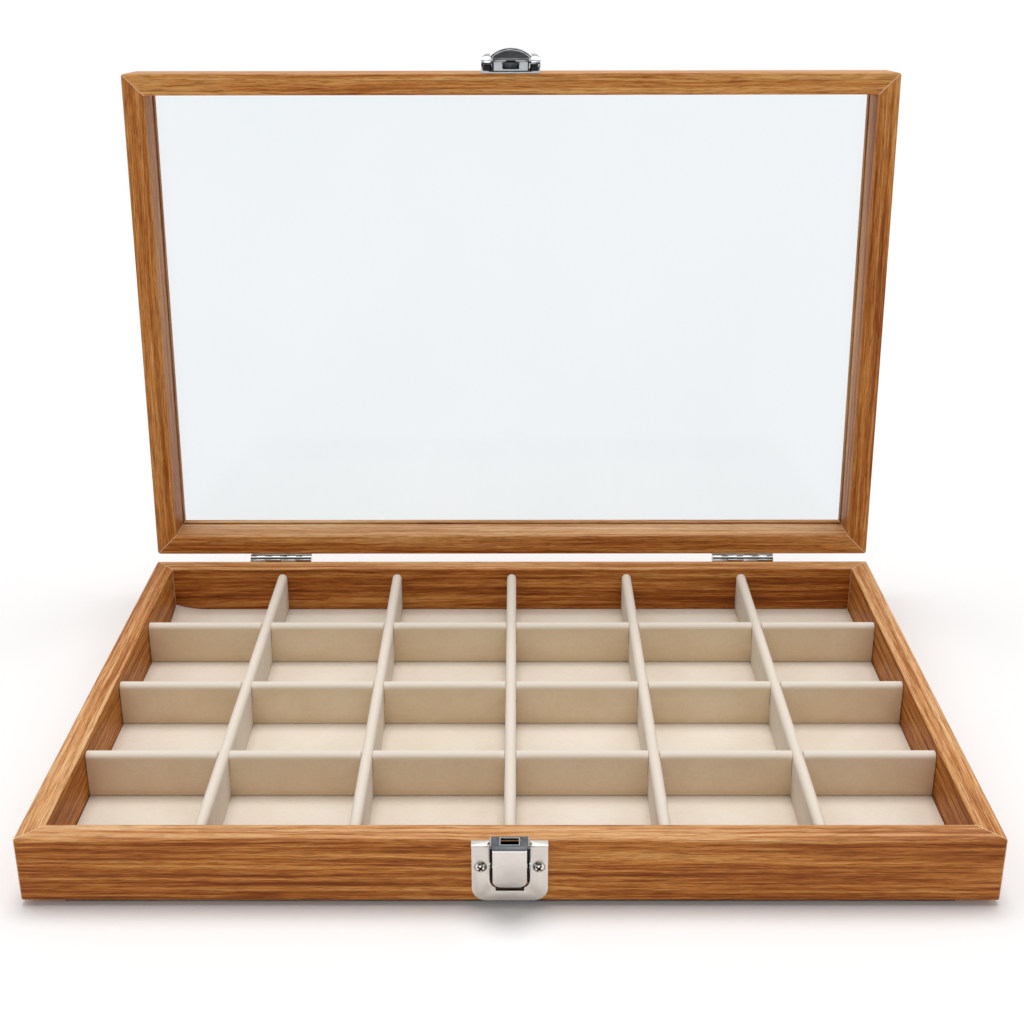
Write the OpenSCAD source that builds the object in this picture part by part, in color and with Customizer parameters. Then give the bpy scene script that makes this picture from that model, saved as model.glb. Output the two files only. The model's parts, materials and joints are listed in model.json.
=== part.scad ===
// Mineral specimen box: a mitred hardwood tray with a glazed lid, two stop hinges,
// a press-lever latch and suede-covered dividers that make a grid of compartments.
// The box stands on three felt strips. X is along the front, Y goes to the back and Z is up.
// The origin is the centre of the middle felt strip's underside.

/* [Case] */
// Outside length of the case, along the front
case_w = 350; // [300:1:420]
// Outside depth of the case, front to back
case_d = 230; // [200:1:280]
// Thickness of the hardwood rails
rail_t = 9.5; // [8:0.5:12]
// Height of the base rails
base_h = 26; // [24:0.5:40]
// Height of the lid rails
lid_h = 25; // [24:0.5:36]
// Chamfer on the long edges of the rails
edge_c = 0.8; // [0.4:0.1:1.2]
// Radius of the case's upright corners
corner_r = 1.5; // [0.6:0.1:2.5]

/* [Bottom] */
// Thickness of the plywood bottom panel
panel_t = 3.2; // [2.5:0.1:4]
// Width of the rebate that the bottom panel sits in
rebate_w = 5; // [3:0.5:6]
// Thickness of the suede floor pad
pad_t = 1.6; // [1:0.1:2.4]
// Gap between the floor pad and the rails
pad_gap = 0.3; // [0.1:0.1:0.6]
// Thickness of the felt strips under the base
felt_t = 2; // [1:0.1:3]
// Width of each felt strip
felt_w = 16; // [8:1:30]
// Distance from the case's sides to the ends of the felt strips
felt_end = 15; // [8:1:40]
// Distance from the case's front and back to the felt strips
felt_edge = 2.5; // [1:0.5:10]

/* [Dividers] */
// Thickness of a divider board with its suede
divider_t = 4.4; // [3:0.1:6]
// Distance from the base's top edge down to the dividers' tops
divider_drop = 2.4; // [1:0.1:4]
// Gap on each side of a board in its cross-lap slot
lap_gap = 0.1; // [0.05:0.05:0.2]
// Gap between a divider's end and the rail
divider_gap = 0.2; // [0.1:0.1:0.4]

/* [Glass] */
// Thickness of the glass pane
glass_t = 3; // [2:0.5:4]
// Distance from the lid's rim to the pane
glass_rise = 17; // [12:0.5:18]
// Depth of the glass groove in the lid rails
groove_d = 4; // [3:0.5:6]
// Gap all round the pane in its groove
glass_gap = 0.15; // [0.1:0.05:0.4]

/* [Hinges] */
// Distance from the case's sides to the middle of each hinge
hinge_inset = 61; // [45:1:90]
// Length of a hinge
hinge_l = 30; // [24:1:44]
// Radius of the hinge knuckles
knuckle_r = 2.2; // [2:0.1:2.8]
// Gap between the knuckles and the back of the case
knuckle_gap = 0.3; // [0.2:0.05:0.5]
// Gap between neighbouring knuckles
knuckle_side_gap = 0.2; // [0.1:0.05:0.4]
// Radius of the hinge pin
pin_r = 0.9; // [0.7:0.1:1.2]
// Running gap round a pin in its bore
pin_gap = 0.04; // [0.02:0.01:0.08]
// Thickness of the hinge leaves
leaf_t = 1; // [0.8:0.1:1.3]
// Height of a hinge leaf from the hinge's axis
leaf_h = 15; // [12:0.5:18]
// Angle at which the stop lugs hold the lid open
lid_open = 94; // [85:1:110]
// Gap between the lid's rim and the base when the lid is shut
rim_gap = 0.2; // [0.1:0.1:0.5]
// Distance from a hinge's middle to its screws
hinge_screw_x = 9.5; // [7:0.5:11]
// Distance from the hinge's axis to its screws
hinge_screw_h = 9; // [7:0.5:11]

/* [Latch] */
// Width of the latch plate on the base
latch_w = 27; // [26:0.5:36]
// Height of the latch plate
latch_h = 24.7; // [22:0.1:25.5]
// Thickness of the latch plate
latch_t = 1.2; // [0.8:0.1:1.5]
// Radius of the latch plate's lower corners
latch_r = 5.2; // [3:0.1:7]
// Width of the press lever
lever_w = 12; // [11:0.5:13]
// Thickness of the press lever
lever_t = 1.2; // [1:0.1:1.4]
// Sheet thickness of the latch's cheeks and keeper
cheek_t = 0.7; // [0.6:0.1:0.9]
// Gap between the lever and each cheek
cheek_gap = 0.2; // [0.15:0.05:0.3]
// Height of the keeper above the base's top edge
keeper_rise = 2.4; // [2:0.1:2.8]
// Sheet thickness of the keeper
keeper_t = 1; // [0.8:0.1:1.2]
// Distance that the keeper stands out from the case
keeper_out = 8; // [7.6:0.1:8.4]
// Width of the keeper's eye
eye_w = 6.4; // [5.8:0.1:7]
// Depth of the keeper's eye, front to back
eye_d = 3.9; // [3.6:0.1:4.2]
// Radius of the lever's pivot pin
lever_pin_r = 0.8; // [0.6:0.1:1]

/* [Catch] */
// Width of the catch on the lid
catch_w = 26.6; // [26:0.2:32]
// Height of the catch's back plate
catch_h = 21; // [20:0.1:22]
// Sheet thickness of the catch
catch_t = 0.8; // [0.7:0.1:0.9]
// Width of the catch's domed cover
cover_w = 18.2; // [17.6:0.1:18.6]
// Distance that the domed cover stands out from the lid
cover_out = 10.8; // [10.6:0.1:12]
// Sheet thickness of the domed cover
cover_t = 0.9; // [0.7:0.1:1]
// Distance that the catch's ears stand out from the lid
ear_out = 8.3; // [7:0.1:8.8]
// Width of the catch's tongue
tongue_w = 5.2; // [4.4:0.1:5.6]
// Thickness of the catch's tongue
tongue_t = 1; // [0.8:0.1:1.2]
// How far the lever's nose reaches over the tongue's barb
hook_grip = 0.9; // [0.6:0.1:1.1]

/* [Screws] */
// Radius of the screws' shanks
shank_r = 1.1; // [0.9:0.1:1.3]
// Gap between a screw's shank and its hole
shank_gap = 0.05; // [0.02:0.01:0.1]
// Length of the screws under their heads
screw_l = 7; // [5:0.5:7.5]
// Radius of the pan heads on the latch and the catch
pan_r = 2.3; // [2:0.1:2.5]
// Height of the pan heads
pan_h = 1.3; // [1:0.1:1.6]
// Radius of the countersunk heads on the hinges
flat_r = 2; // [1.8:0.1:2.2]

/* [Hidden] */
$fn = 48;

// A cut runs this far past the face that it opens.
past = 1;
// A lug reaches this far into the piece that it is joined to.
join = 0.05;
base_top = felt_t + base_h;
inside_w = case_w - 2 * rail_t;
inside_d = case_d - 2 * rail_t;
floor_z = felt_t + panel_t + pad_t;
inner_c = edge_c / 2;

// The grid has six compartments along the front and four from front to back.
columns = 6;
rows = 4;
column_pitch = (inside_w + divider_t) / columns;
row_pitch = (inside_d + divider_t) / rows;
divider_top = base_top - divider_drop;
lap_z = (floor_z + divider_top) / 2;
lap_rise = 0.1;

hinge_x = case_w / 2 - hinge_inset;
hinge_out = knuckle_r + knuckle_gap;
hinge_z = base_top + rim_gap / 2;
knuckles = 4;
knuckle_l = hinge_l / knuckles;
notch_h = knuckle_r + knuckle_gap;
lug_r = knuckle_r + 1.4;
lug_gap = 0.05;

// Heights on the latch and the catch are measured from the base's top edge, and depths
// from the case's front face outwards.
lever_top = keeper_rise - keeper_t - 0.3;
lever_foot = -17.7;
lever_top_out = keeper_out - 0.1;
lever_foot_out = 3.2;
lever_r = 3;
lever_pin_h = -8.5;
lever_pin_out = 3;
lever_eye_r = lever_pin_r + 1.1;
spring_w = 4.4;
spring_t = 0.35;
spring_rise = 5;
lever_flange_t = 0.9;
lever_flange_in = 0.2;
lever_skin = 0.05;
lever_bevel = 0.2;
lever_bevel_h = 0.6;
housing_w = lever_w + 2 * (cheek_gap + cheek_t);
housing_foot = -16;
cheek_back = 1.2;
web_t = 0.6;
web_rise = 5.2;
web_drop = 5.5;
stop_t = 1.3;
stop_foot = -4;
stop_top = -2;
stop_gap = 0.1;
housing_back = catch_t + 0.4;
cheek_drop = 0.3;
keeper_r = 2.4;
eye_back = housing_back + 0.8;
channel_w = housing_w + 0.4;
channel_foot = lever_foot - 1.2;
channel_r = 3;
slot_w = 10.1;
slot_foot = channel_foot - 1.7;
slot_depth = 2;
lip_out = 3.2;
lip_t = 1;
lip_gap = 0.6;
collar_w = 0.8;
collar_t = 0.6;
latch_screw_x = channel_w / 2 + collar_w + pan_r + 0.1;
latch_screw_h = -10.4;

tongue_out = eye_back + 0.3;
tongue_foot = -3.7;
barb_h = 1.8;
nose_foot = tongue_foot + barb_h + 0.3;
nose_h = 1.4;
nose_w = tongue_w - 0.4;
nose_tip = tongue_out + tongue_t + 0.5;
barb_out = nose_tip + hook_grip;
tongue_root = 6;
tongue_root_h = 6;
tongue_step = 0.4;
tongue_knee = 1.6;
barb_t = 0.5;

catch_foot = rim_gap + 0.1;
catch_r = 3;
box_in = housing_w / 2 + 0.7;
box_out = 4.8;
box_h = 5.2;
box_wall = 1.1;
ear_in = cover_w / 2 + 0.2;
ear_r = 3;
ear_arc_h = 8;
cover_sag = 3.5;
cover_arch_r = (cover_w * cover_w / 4 + cover_sag * cover_sag) / (2 * cover_sag);
cover_foot = lever_top + 0.3;
cover_arc = 9.5;
cover_straight = 8.8;
cover_foot_out = box_out + 0.1;
bracket_h = keeper_rise + 0.8;
bracket_out = 5.5;
bracket_hole_w = 7.6;
bracket_hole_d = 2.9;
bracket_hole_gap = 0.7;
roll_r = 1.1;
catch_screw_x = catch_w / 2 - pan_r + 0.2;
catch_screw_h = 17.9;
catch_pan_r = pan_r - 0.4;
catch_screw_l = rail_t - groove_d - 0.4;

wood = "#a56b3a";
ply = "#c09464";
suede = "#e2d8ca";
felt = "#2b2723";
steel = "#cfcac3";
polished = "#dfe2e4";
black_steel = "#2f3134";
pane = [0.85, 0.92, 0.94, 0.35];

function lever_front(h) =
    lever_foot_out
    + (h - lever_foot) * (lever_top_out - lever_foot_out) / (lever_top - lever_foot);

function lever_back(h) = lever_front(h) - lever_t - lever_skin;

// Case rails

module case_outline(w, d, r) {
    square([w - 2 * r, d], center = true);
    square([w, d - 2 * r], center = true);
    for (x = [-1, 1], y = [-1, 1])
        translate([x * (w / 2 - r), y * (d / 2 - r)])
            circle(r = r);
}

module base_profile() {
    polygon([
        [edge_c, 0], [0, edge_c], [0, base_h - edge_c], [edge_c, base_h],
        [rail_t - inner_c, base_h], [rail_t, base_h - inner_c],
        [rail_t, panel_t], [rail_t - rebate_w, panel_t], [rail_t - rebate_w, 0]
    ]);
}

module lid_profile() {
    groove_low = glass_rise - glass_gap;
    groove_high = glass_rise + glass_t + glass_gap;
    polygon([
        [inner_c, 0], [0, inner_c], [0, lid_h - edge_c], [edge_c, lid_h],
        [rail_t - edge_c, lid_h], [rail_t, lid_h - edge_c],
        [rail_t, groove_high], [rail_t - groove_d, groove_high],
        [rail_t - groove_d, groove_low], [rail_t, groove_low],
        [rail_t, inner_c], [rail_t - inner_c, 0]
    ]);
}

// A mitred rail along X whose outer face is the plane y = -across / 2.
module mitred_rail(length, across, height) {
    intersection() {
        translate([-length / 2, -across / 2, 0])
            rotate([90, 0, 90])
                linear_extrude(length)
                    children();
        linear_extrude(height)
            polygon([
                [-length / 2, -across / 2], [length / 2, -across / 2],
                [length / 2 - rail_t, -across / 2 + rail_t],
                [-length / 2 + rail_t, -across / 2 + rail_t]
            ]);
    }
}

// Side 0 is the front, 1 the right, 2 the back and 3 the left.
module case_rail(side, height) {
    length = side % 2 == 0 ? case_w : case_d;
    across = side % 2 == 0 ? case_d : case_w;
    intersection() {
        rotate([0, 0, 90 * side])
            mitred_rail(length, across, height)
                children();
        linear_extrude(height)
            case_outline(case_w, case_d, corner_r);
    }
}

module base_rail(side) {
    translate([0, 0, felt_t])
        case_rail(side, base_h)
            base_profile();
}

module lid_rail(side) {
    translate([0, 0, base_top + rim_gap])
        case_rail(side, lid_h)
            lid_profile();
}

// Turns what is drawn in the shut position to the open lid's place.
module lid_pose() {
    translate([0, case_d / 2 + hinge_out, hinge_z])
        rotate([-lid_open, 0, 0])
            translate([0, -case_d / 2 - hinge_out, -hinge_z])
                children();
}

// Local X, Y and Z are right, up from the base's top edge and out from the front face.
module on_front() {
    translate([0, -case_d / 2, base_top])
        rotate([90, 0, 0])
            children();
}

// Local X, Y and Z are right, the hinge's axis and out from the back face.
module on_back(x, h) {
    translate([x, case_d / 2, hinge_z + h])
        rotate([-90, 0, 0])
            children();
}

// An outline of depths and heights, drawn out along X on the front face.
module side_extrude(width) {
    rotate([0, -90, 0])
        linear_extrude(width, center = true)
            children();
}

module base_front_rail() {
    color(wood)
        difference() {
            base_rail(0);
            latch_screw_places() screw_hole(screw_l);
            on_front()
                translate([-slot_w / 2, slot_foot, -slot_depth])
                    cube([slot_w, -slot_foot + lever_pin_h - 4, slot_depth + past]);
        }
}

module base_right_rail() {
    color(wood)
        base_rail(1);
}

module base_back_rail() {
    color(wood)
        difference() {
            base_rail(2);
            hinge_screw_places(-1) screw_hole(screw_l);
        }
}

module base_left_rail() {
    color(wood)
        base_rail(3);
}

module lid_front_rail() {
    color(wood)
        lid_pose()
            difference() {
                lid_rail(0);
                catch_screw_places() screw_hole(catch_screw_l);
            }
}

module lid_right_rail() {
    color(wood)
        lid_pose()
            lid_rail(1);
}

module lid_back_rail() {
    color(wood)
        lid_pose()
            difference() {
                lid_rail(2);
                hinge_screw_places(1) screw_hole(screw_l);
            }
}

module lid_left_rail() {
    color(wood)
        lid_pose()
            lid_rail(3);
}

// Bottom, floor pad and felt strips

module bottom_panel() {
    color(ply)
        translate([0, 0, felt_t])
            linear_extrude(panel_t)
                square([inside_w + 2 * rebate_w, inside_d + 2 * rebate_w], center = true);
}

module floor_pad() {
    color(suede)
        translate([0, 0, felt_t + panel_t])
            linear_extrude(pad_t)
                square([inside_w - 2 * pad_gap, inside_d - 2 * pad_gap], center = true);
}

// Side -1 is the front strip, 0 the middle one and 1 the back one.
module felt_strip(side) {
    length = case_w - 2 * felt_end;
    y = side * (case_d / 2 - felt_edge - felt_w / 2);
    color(felt)
        translate([-length / 2, y - felt_w / 2, 0])
            cube([length, felt_w, felt_t]);
}

module felt_strip_front() {
    felt_strip(-1);
}

module felt_strip_middle() {
    felt_strip(0);
}

module felt_strip_back() {
    felt_strip(1);
}

// Dividers

// A board along X with a rounded top, standing on the floor pad.
module divider_board(length) {
    rotate([90, 0, 90])
        linear_extrude(length, center = true) {
            translate([-divider_t / 2, floor_z])
                square([divider_t, divider_top - divider_t / 2 - floor_z]);
            translate([0, divider_top - divider_t / 2])
                circle(d = divider_t);
        }
}

// Slots across a board along X, from low to high.
module lap_slots(count, pitch, low, high) {
    slot = divider_t + 2 * lap_gap;
    for (i = [1:count])
        translate([(i - (count + 1) / 2) * pitch - slot / 2, -divider_t, low])
            cube([slot, 2 * divider_t, high - low]);
}

module column_divider(i) {
    color(suede)
        translate([(i - columns / 2) * column_pitch, 0, 0])
            rotate([0, 0, 90])
                difference() {
                    divider_board(inside_d - 2 * divider_gap);
                    lap_slots(rows - 1, row_pitch, floor_z - past, lap_z + lap_rise);
                }
}

module row_divider(i) {
    color(suede)
        translate([0, (i - rows / 2) * row_pitch, 0])
            difference() {
                divider_board(inside_w - 2 * divider_gap);
                lap_slots(columns - 1, column_pitch, lap_z, divider_top + past);
            }
}

module glass_pane() {
    reach = 2 * (groove_d - glass_gap);
    color(pane)
        lid_pose()
            translate([0, 0, base_top + rim_gap + glass_rise])
                linear_extrude(glass_t)
                    square([inside_w + reach, inside_d + reach], center = true);
}

// Screws

// Radius of the sphere whose cap has the given foot radius and height.
function cap_radius(foot, height) = (foot * foot + height * height) / (2 * height);

module cap(foot, height) {
    ball = cap_radius(foot, height);
    intersection() {
        translate([0, 0, height - ball])
            sphere(r = ball);
        cylinder(r = foot, h = height + past);
    }
}

module cross_recess(span, top) {
    for (a = [45, 135])
        rotate([0, 0, a])
            translate([-span / 2, -0.3, top - 0.8])
                cube([span, 0.6, past + 0.8]);
}

module pan_screw(head_r, length, turn) {
    difference() {
        cap(head_r, pan_h);
        rotate([0, 0, turn])
            cross_recess(head_r * 1.1, pan_h);
    }
    translate([0, 0, -length])
        cylinder(r = shank_r, h = length + 0.1);
}

module flat_screw(turn) {
    difference() {
        union() {
            translate([0, 0, -leaf_t])
                cylinder(r1 = shank_r, r2 = flat_r, h = leaf_t);
            cap(flat_r, 0.4);
        }
        rotate([0, 0, turn])
            cross_recess(flat_r * 1.3, 0.4);
    }
    translate([0, 0, -screw_l])
        cylinder(r = shank_r, h = screw_l - leaf_t + 0.1);
}

module screw_hole(length) {
    translate([0, 0, -length - 0.3])
        cylinder(r = shank_r + shank_gap, h = length + 5);
}

module countersink() {
    translate([0, 0, -leaf_t])
        cylinder(r1 = shank_r + shank_gap, r2 = flat_r + shank_gap, h = leaf_t);
    screw_hole(screw_l);
}

// Hinges

// On the back face, side -1 is the base's screws and 1 the lid's.
module hinge_screw_places(side) {
    for (x = [-hinge_x, hinge_x], s = [-1, 1])
        on_back(x + s * hinge_screw_x, side * hinge_screw_h)
            translate([0, 0, leaf_t])
                children();
}

module knuckle_row(x, first, r, trim) {
    for (i = [first:2:knuckles - 1])
        translate([x - hinge_l / 2 + (i + 0.5) * knuckle_l, case_d / 2 + hinge_out, hinge_z])
            rotate([0, 90, 0])
                cylinder(r = r, h = knuckle_l - trim, center = true);
}

// Side -1 is the base's leaf, with knuckles 0 and 2; side 1 is the lid's, with 1 and 3.
module hinge_leaf(x, side) {
    own = side < 0 ? 0 : 1;
    other = 1 - own;
    low = side < 0 ? hinge_z - leaf_h : hinge_z;
    difference() {
        union() {
            translate([x - hinge_l / 2, case_d / 2, low])
                cube([hinge_l, leaf_t, leaf_h]);
            knuckle_row(x, own, knuckle_r, knuckle_side_gap);
        }
        for (i = [other:2:knuckles - 1])
            translate([
                x - hinge_l / 2 + i * knuckle_l - knuckle_side_gap / 2,
                case_d / 2 - past,
                hinge_z - notch_h
            ])
                cube([knuckle_l + knuckle_side_gap, leaf_t + 2 * past, 2 * notch_h]);
        translate([x - hinge_l, case_d / 2 + hinge_out, hinge_z])
            rotate([0, 90, 0])
                cylinder(r = pin_r + pin_gap, h = 2 * hinge_l);
        hinge_screw_places(side) countersink();
    }
}

// Lugs on the lid's knuckles, which meet the base's leaf when the lid is open.
module stop_lugs(x) {
    reach = hinge_out - leaf_t - lug_gap;
    difference() {
        intersection() {
            knuckle_row(x, 1, lug_r, knuckle_side_gap);
            translate([x - hinge_l / 2, case_d / 2 + hinge_out - reach, hinge_z - lug_r])
                cube([hinge_l, reach + knuckle_r / 2, lug_r]);
        }
        knuckle_row(x, 1, pin_r + pin_gap, -past);
    }
}

module hinge_base_leaf(x) {
    color(polished)
        hinge_leaf(x, -1);
}

module hinge_lid_leaf(x) {
    color(polished) {
        lid_pose()
            hinge_leaf(x, 1);
        stop_lugs(x);
    }
}

module hinge_pin(x) {
    color(steel)
        translate([x, case_d / 2 + hinge_out, hinge_z])
            rotate([0, 90, 0])
                cylinder(r = pin_r, h = hinge_l - knuckle_side_gap, center = true);
}

module hinge_base_leaf_left() {
    hinge_base_leaf(-hinge_x);
}

module hinge_base_leaf_right() {
    hinge_base_leaf(hinge_x);
}

module hinge_lid_leaf_left() {
    hinge_lid_leaf(-hinge_x);
}

module hinge_lid_leaf_right() {
    hinge_lid_leaf(hinge_x);
}

module hinge_pin_left() {
    hinge_pin(-hinge_x);
}

module hinge_pin_right() {
    hinge_pin(hinge_x);
}

module hinge_base_screws() {
    color(polished)
        hinge_screw_places(-1) flat_screw(20);
}

module hinge_lid_screws() {
    color(polished)
        lid_pose()
            hinge_screw_places(1) flat_screw(65);
}

// Latch on the base

module latch_screw_places() {
    for (s = [-1, 1])
        on_front()
            translate([s * latch_screw_x, latch_screw_h, latch_t])
                children();
}

// An upright outline with its lower corners rounded.
module tab_outline(width, foot, top, r) {
    translate([-width / 2, foot + r])
        square([width, top - foot - r]);
    translate([-width / 2 + r, foot])
        square([width - 2 * r, r + 0.1]);
    for (s = [-1, 1])
        translate([s * (width / 2 - r), foot + r])
            circle(r = r);
}

module latch_plate() {
    collar_foot = channel_foot - collar_w;
    color(steel)
        difference() {
            on_front()
                difference() {
                    union() {
                        linear_extrude(latch_t)
                            tab_outline(latch_w, -latch_h, 0, latch_r);
                        linear_extrude(latch_t + collar_t)
                            tab_outline(
                                channel_w + 2 * collar_w, collar_foot, -lip_t,
                                channel_r + collar_w
                            );
                        for (s = [-1, 1])
                            translate([s * (channel_w / 2 + lip_gap + latch_w / 2) / 2, -lip_t / 2, 0])
                                latch_lip();
                    }
                    translate([0, 0, -past])
                        linear_extrude(lip_out + 2 * past)
                            tab_outline(channel_w, channel_foot, past, channel_r);
                    translate([-slot_w / 2, slot_foot, -past])
                        cube([slot_w, channel_foot - slot_foot + channel_r, lip_out + 2 * past]);
                }
            latch_screw_places() screw_hole(screw_l);
        }
}

// The folded top edge of the plate on one side of the channel, with a rounded nose.
module latch_lip() {
    length = (latch_w - channel_w) / 2 - lip_gap;
    side_extrude(length) {
        translate([0, -lip_t / 2])
            square([lip_out - lip_t / 2, lip_t]);
        translate([lip_out - lip_t / 2, 0])
            circle(d = lip_t);
    }
}

// Two cheeks that carry the lever's pin, the web behind them and the keeper with its eye.
module latch_housing() {
    low = lever_front(housing_foot) - cheek_back;
    high = lever_front(lever_top) - cheek_back;
    sheet_top = keeper_rise - keeper_t;
    color(steel)
        on_front()
            difference() {
                union() {
                    for (s = [-1, 1])
                        translate([s * (housing_w - cheek_t) / 2, 0, 0])
                            side_extrude(cheek_t)
                                polygon([
                                    [0, housing_foot], [low, housing_foot],
                                    [high, sheet_top], [housing_back, sheet_top],
                                    [housing_back, -cheek_drop], [0, -cheek_drop]
                                ]);
                    translate([-housing_w / 2, lever_pin_h - web_drop, 0])
                        cube([housing_w, -lever_pin_h + web_rise, web_t]);
                    for (s = [-1, 1])
                        translate([s * (housing_w / 2 - cheek_t - stop_t / 2 + join), 0, 0])
                            side_extrude(stop_t)
                                stop_lug();
                    keeper();
                }
                translate([0, lever_pin_h, lever_pin_out])
                    rotate([0, 90, 0])
                        cylinder(r = lever_pin_r + pin_gap, h = latch_w, center = true);
            }
}

// The outline of a lug that the lever rests against from behind.
module stop_lug() {
    near = lever_back(stop_foot) - stop_gap;
    far = lever_back(stop_top) - stop_gap;
    polygon([
        [near - stop_t, stop_foot], [near, stop_foot], [far, stop_top], [far - stop_t, stop_top]
    ]);
}

module keeper() {
    depth = keeper_out - housing_back;
    translate([0, keeper_rise - keeper_t, 0])
        rotate([-90, 0, 0])
            translate([0, -keeper_out, 0])
                linear_extrude(keeper_t)
                    difference() {
                        translate([0, depth])
                            tab_outline(housing_w, -depth, 0, keeper_r);
                        translate([-eye_w / 2, keeper_out - eye_back - eye_d])
                            square([eye_w, eye_d]);
                    }
}

// The press lever: a tab that leans out to its top, with two flanges for the pin and a
// nose that holds the catch's tongue.
module latch_lever() {
    foot_back = lever_foot_out - lever_t;
    top_back = lever_top_out - lever_t;
    color(steel)
        on_front()
            difference() {
                union() {
                    intersection() {
                        linear_extrude(keeper_out + past)
                            tab_outline(lever_w, lever_foot, lever_top, lever_r);
                        side_extrude(lever_w)
                            polygon([
                                [foot_back, lever_foot], [lever_foot_out, lever_foot],
                                [lever_top_out - lever_bevel, lever_top - lever_bevel_h],
                                [lever_top_out, lever_top], [top_back, lever_top]
                            ]);
                    }
                    for (s = [-1, 1])
                        translate([s * (lever_w / 2 - lever_flange_in - lever_flange_t / 2), 0, 0])
                            lever_flange();
                    lever_nose();
                }
                translate([0, lever_pin_h, lever_pin_out])
                    rotate([0, 90, 0])
                        cylinder(r = lever_pin_r + pin_gap, h = latch_w, center = true);
            }
}

module lever_flange() {
    side_extrude(lever_flange_t) {
        translate([lever_pin_out, lever_pin_h])
            circle(r = lever_eye_r);
        polygon([
            [lever_pin_out, lever_pin_h - lever_eye_r],
            [lever_back(lever_pin_h - lever_eye_r) + lever_t / 2, lever_pin_h - lever_eye_r],
            [lever_back(lever_pin_h + lever_eye_r) + lever_t / 2, lever_pin_h + lever_eye_r],
            [lever_pin_out, lever_pin_h + lever_eye_r]
        ]);
    }
}

module lever_nose() {
    top = nose_foot + nose_h;
    side_extrude(nose_w)
        polygon([
            [nose_tip, nose_foot], [lever_front(nose_foot) - lever_t / 2, nose_foot],
            [lever_front(top) - lever_t / 2, top], [nose_tip + 0.9, top],
            [nose_tip, nose_foot + 0.5]
        ]);
}

// The lever's pin, with a thin head outside each cheek.
module latch_pin() {
    head_t = 0.15;
    color(polished)
        on_front()
            translate([0, lever_pin_h, lever_pin_out])
                rotate([0, 90, 0]) {
                    cylinder(r = lever_pin_r, h = housing_w + 0.1, center = true);
                    for (s = [-1, 1])
                        translate([0, 0, s * (housing_w / 2 + 0.02 + head_t / 2)])
                            cylinder(r = lever_pin_r + 0.4, h = head_t, center = true);
                }
}

// A leaf spring on the housing's web, which pushes the lever's foot out.
module latch_spring() {
    foot = lever_pin_h - 4.5;
    bend = lever_pin_h - 2;
    reach = lever_back(foot) - stop_gap;
    color(black_steel)
        on_front()
            side_extrude(spring_w)
                polygon([
                    [web_t, lever_pin_h + spring_rise], [web_t + spring_t, lever_pin_h + spring_rise],
                    [web_t + spring_t, bend + spring_t / 2], [reach, foot],
                    [reach - spring_t, foot], [web_t, bend]
                ]);
}

module latch_screws() {
    color(polished)
        latch_screw_places() pan_screw(pan_r, screw_l, 8);
}

// Catch on the lid

module catch_screw_places() {
    for (s = [-1, 1])
        on_front()
            translate([s * catch_screw_x, catch_screw_h, catch_t])
                children();
}

// An outline across the catch: depths up, widths along X, with its outer corners rounded.
module arch_outline(width, foot, out, r) {
    translate([-width / 2, foot])
        square([width, out - r - foot]);
    translate([-width / 2 + r, foot])
        square([width - 2 * r, out - foot]);
    for (s = [-1, 1])
        translate([s * (width / 2 - r), out - r])
            circle(r = r);
}

// Draws an outline across the catch up from the height low.
module up_extrude(low, height) {
    translate([0, low, 0])
        rotate([-90, 0, 0])
            mirror([0, 1, 0])
                linear_extrude(height)
                    children();
}

module catch_body() {
    color(polished)
        lid_pose()
            on_front()
                difference() {
                    union() {
                        translate([0, catch_h + catch_foot, 0])
                            mirror([0, 1, 0])
                                linear_extrude(catch_t)
                                    tab_outline(catch_w, 0, catch_h, catch_r);
                        catch_ears();
                        catch_boxes();
                        catch_bracket();
                    }
                    for (s = [-1, 1])
                        translate([s * catch_screw_x, catch_screw_h, catch_t])
                            screw_hole(catch_screw_l);
                }
}

module catch_ears() {
    arc = ear_out - catch_t;
    intersection() {
        difference() {
            up_extrude(catch_foot, catch_h)
                arch_outline(catch_w, 0, ear_out, ear_r);
            translate([-ear_in, 0, -past])
                cube([2 * ear_in, 2 * catch_h, ear_out + 2 * past]);
        }
        side_extrude(catch_w)
            translate([catch_t, ear_arc_h])
                circle(r = arc);
    }
}

module catch_boxes() {
    recess = (catch_w / 2 - box_in) - 2 * box_wall;
    difference() {
        up_extrude(catch_foot, box_h)
            arch_outline(catch_w, 0, box_out, box_wall);
        translate([-box_in, 0, catch_t])
            cube([2 * box_in, 2 * box_h, box_out]);
        for (s = [-1, 1])
            translate([
                s * (catch_w / 2 + box_in) / 2 - recess / 2,
                0,
                catch_t + 0.4
            ])
                cube([recess, box_h - 0.6, box_out - catch_t - 0.4 - 0.8]);
    }
}

// A wall across the catch with a hole for the tongue and a rolled outer edge.
module catch_bracket() {
    inner = cover_w - 2 * cover_t - 0.4;
    up_extrude(bracket_h, catch_t)
        difference() {
            translate([-inner / 2, 0])
                square([inner, bracket_out]);
            translate([-bracket_hole_w / 2, tongue_out - bracket_hole_gap])
                square([bracket_hole_w, bracket_hole_d]);
        }
    side_extrude(inner)
        translate([bracket_out, bracket_h + roll_r - 0.3])
            circle(r = roll_r);
}

// The cover seen from the side, from the height low up to its round shoulder.
module cover_side(low, shrink) {
    translate([-past, low])
        square([cover_out - shrink + past, cover_straight + catch_foot - low]);
    translate([cover_out - cover_arc, cover_straight + catch_foot])
        circle(r = cover_arc - shrink);
}

// The cover's low arch seen from the rim, with depths up and widths along X.
module cover_arch(low, shrink) {
    half = cover_w / 2 - shrink;
    intersection() {
        translate([-half, low])
            square([2 * half, cover_out - low]);
        translate([0, cover_out - cover_arch_r])
            circle(r = cover_arch_r - shrink);
    }
}

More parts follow.
